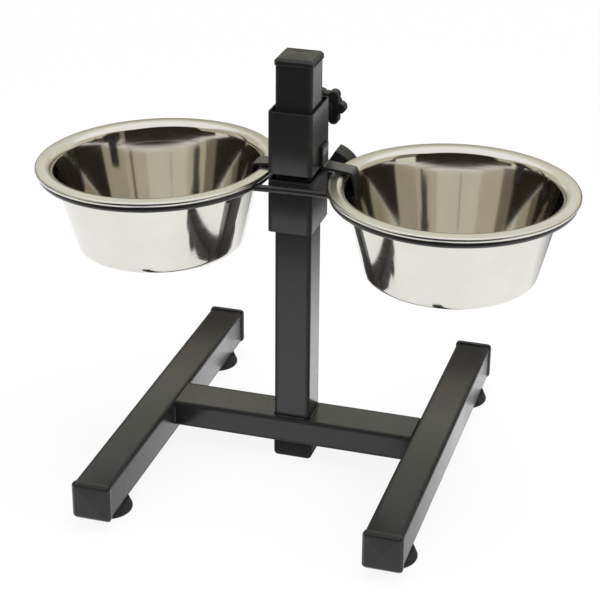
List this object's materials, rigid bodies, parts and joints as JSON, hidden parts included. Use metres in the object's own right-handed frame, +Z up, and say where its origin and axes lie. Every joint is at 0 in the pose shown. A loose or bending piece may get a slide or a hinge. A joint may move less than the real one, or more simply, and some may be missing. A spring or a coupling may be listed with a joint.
{
  "type": "dog feeder stand",
  "caption": "Height-adjustable dog feeder stand: an H-shaped tube base and square post carry hoops with steel bowls, set by a clamp knob and held by a clip sleeve.",
  "frame": {"origin": "on the floor under the middle of the post, level with the rubber feet", "axes": "+X along the crossbar to the right bowl, +Y from the front to the clamp screws, +Z up the post"},
  "size_m": [0.5918, 0.4536, 0.4717],
  "materials": {
    "powder_coat": "satin black powder coat",
    "cap_plastic": "moulded black plastic",
    "knob_plastic": "moulded black plastic",
    "guide_plastic": "moulded black plastic",
    "foot_rubber": "matt black rubber",
    "plated_steel": "zinc plated",
    "pad_brass": "turned",
    "bowl_steel": "polished stainless steel"
  },
  "bodies": {
    "stand": {"left_runner": "powder_coat", "right_runner": "powder_coat", "crossbar": "powder_coat", "post": "powder_coat", "base_welds": "powder_coat", "left_front_cap": "cap_plastic", "left_rear_cap": "cap_plastic", "right_front_cap": "cap_plastic", "right_rear_cap": "cap_plastic", "post_cap": "cap_plastic", "left_front_foot": "foot_rubber", "left_rear_foot": "foot_rubber", "right_front_foot": "foot_rubber", "right_rear_foot": "foot_rubber", "centre_foot": "foot_rubber", "foot_screws": "plated_steel", "foot_washers": "plated_steel"},
    "ring_carrier": {"carrier_sleeve": "powder_coat", "carrier_guide": "guide_plastic", "left_hoop": "powder_coat", "right_hoop": "powder_coat", "hoop_welds": "powder_coat", "carrier_nut": "powder_coat"},
    "bowl_lock": {"lock_sleeve": "powder_coat", "lock_guide": "guide_plastic", "left_clip": "powder_coat", "right_clip": "powder_coat", "lock_nut": "powder_coat"},
    "wing_pad": {"wing_pad": "pad_brass"},
    "wing_screw": {"wing_knob": "knob_plastic", "wing_stud": "plated_steel"},
    "star_pad": {"star_pad": "pad_brass"},
    "star_screw": {"star_knob": "knob_plastic", "star_stud": "plated_steel"},
    "left_bowl": {"left_bowl": "bowl_steel"},
    "right_bowl": {"right_bowl": "bowl_steel"}
  },
  "joints": [
    {"name": "carrier_slide", "type": "slide", "parent": "stand", "child": "ring_carrier", "axis": [0, 0, 1], "range_m": [-0.18, 0.01]},
    {"name": "lock_slide", "type": "slide", "parent": "ring_carrier", "child": "bowl_lock", "axis": [0, 0, 1], "range_m": [0, 0.035]},
    {"name": "wing_feed", "type": "slide", "parent": "ring_carrier", "child": "wing_pad", "axis": [0, 1, 0], "range_m": [0, 0.0038]},
    {"name": "wing_turn", "type": "hinge", "parent": "wing_pad", "child": "wing_screw", "pos_m": [0.011, 0.072, 0.308], "axis": [0, 1, 0], "range_deg": [0, 1080]},
    {"name": "star_feed", "type": "slide", "parent": "bowl_lock", "child": "star_pad", "axis": [0, 1, 0], "range_m": [0, 0.0038]},
    {"name": "star_turn", "type": "hinge", "parent": "star_pad", "child": "star_screw", "pos_m": [0.011, 0.072, 0.391], "axis": [0, 1, 0], "range_deg": [0, 1080]},
    {"name": "left_bowl_turn", "type": "hinge", "parent": "ring_carrier", "child": "left_bowl", "pos_m": [-0.15966, 0, 0.32842], "axis": [-0.0349, 0, 0.9994], "continuous": true},
    {"name": "right_bowl_turn", "type": "hinge", "parent": "ring_carrier", "child": "right_bowl", "pos_m": [0.16776, 0, 0.334], "axis": [0, 0, 1], "continuous": true}
  ],
  "couplings": [
    {"joint": "wing_feed", "follows": "wing_turn", "m_per_rad": 0.00019894},
    {"joint": "star_feed", "follows": "star_turn", "m_per_rad": 0.00019894}
  ]
}
